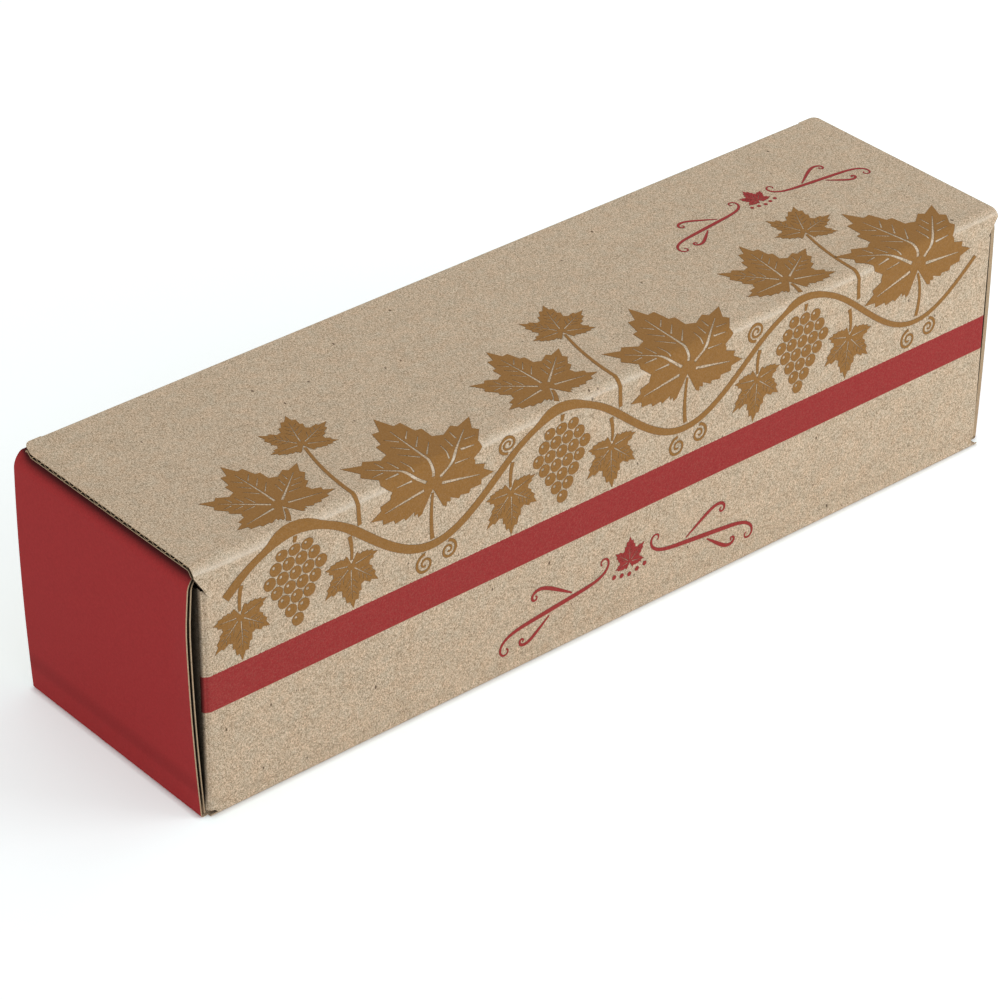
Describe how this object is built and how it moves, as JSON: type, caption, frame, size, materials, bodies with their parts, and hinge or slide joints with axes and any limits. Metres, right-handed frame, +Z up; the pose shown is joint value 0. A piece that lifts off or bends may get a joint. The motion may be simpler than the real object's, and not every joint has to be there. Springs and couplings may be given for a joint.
{
  "type": "bottle gift box",
  "caption": "Long folding gift box of corrugated kraft board for a bottle, with rolled-over red end walls and a hinged lid whose flap and ears tuck inside.",
  "frame": {"origin": "middle of the underside of the closed box", "axes": "+X along the box, +Y from the hinge wall to the tuck wall, +Z up"},
  "size_m": [0.3448, 0.092, 0.092],
  "materials": {
    "kraft_board": "matte",
    "red_print_board": "matte"
  },
  "bodies": {
    "box": {"base_panel": "kraft_board", "hinge_wall_crease": "kraft_board", "hinge_wall": "kraft_board", "tuck_wall_crease": "kraft_board", "tuck_wall": "kraft_board", "lid_hinge_crease": "kraft_board", "left_end_crease": "red_print_board", "left_end_wall": "red_print_board", "left_end_rollover": "red_print_board", "left_end_inner_wall": "kraft_board", "left_hinge_dust_flap_crease": "kraft_board", "left_hinge_dust_flap": "kraft_board", "left_tuck_dust_flap_crease": "kraft_board", "left_tuck_dust_flap": "kraft_board", "right_end_crease": "red_print_board", "right_end_wall": "red_print_board", "right_end_rollover": "red_print_board", "right_end_inner_wall": "kraft_board", "right_hinge_dust_flap_crease": "kraft_board", "right_hinge_dust_flap": "kraft_board", "right_tuck_dust_flap_crease": "kraft_board", "right_tuck_dust_flap": "kraft_board"},
    "lid": {"lid_panel": "kraft_board", "tuck_crease": "kraft_board"},
    "tuck": {"tuck_flap": "kraft_board", "left_tuck_ear_crease": "kraft_board", "right_tuck_ear_crease": "kraft_board"},
    "left_ear": {"left_tuck_ear": "kraft_board"},
    "right_ear": {"right_tuck_ear": "kraft_board"}
  },
  "joints": [
    {"name": "lid_hinge", "type": "hinge", "parent": "box", "child": "lid", "pos_m": [0, -0.04495, 0.09095], "axis": [1, 0, 0], "range_deg": [0, 150], "deforming": ["lid_hinge_crease"]},
    {"name": "tuck_fold", "type": "hinge", "parent": "lid", "child": "tuck", "pos_m": [0, 0.0419, 0.0899], "axis": [-1, 0, 0], "range_deg": [0, 35], "deforming": ["tuck_crease"]},
    {"name": "left_ear_fold", "type": "hinge", "parent": "tuck", "child": "left_ear", "pos_m": [-0.1614, 0.0419, 0.0899], "axis": [0, 0.1559, 0.9878], "range_deg": [0, 85], "deforming": ["left_tuck_ear_crease"]},
    {"name": "right_ear_fold", "type": "hinge", "parent": "tuck", "child": "right_ear", "pos_m": [0.1614, 0.0419, 0.0899], "axis": [0, -0.1559, -0.9878], "range_deg": [0, 85], "deforming": ["right_tuck_ear_crease"]}
  ]
}
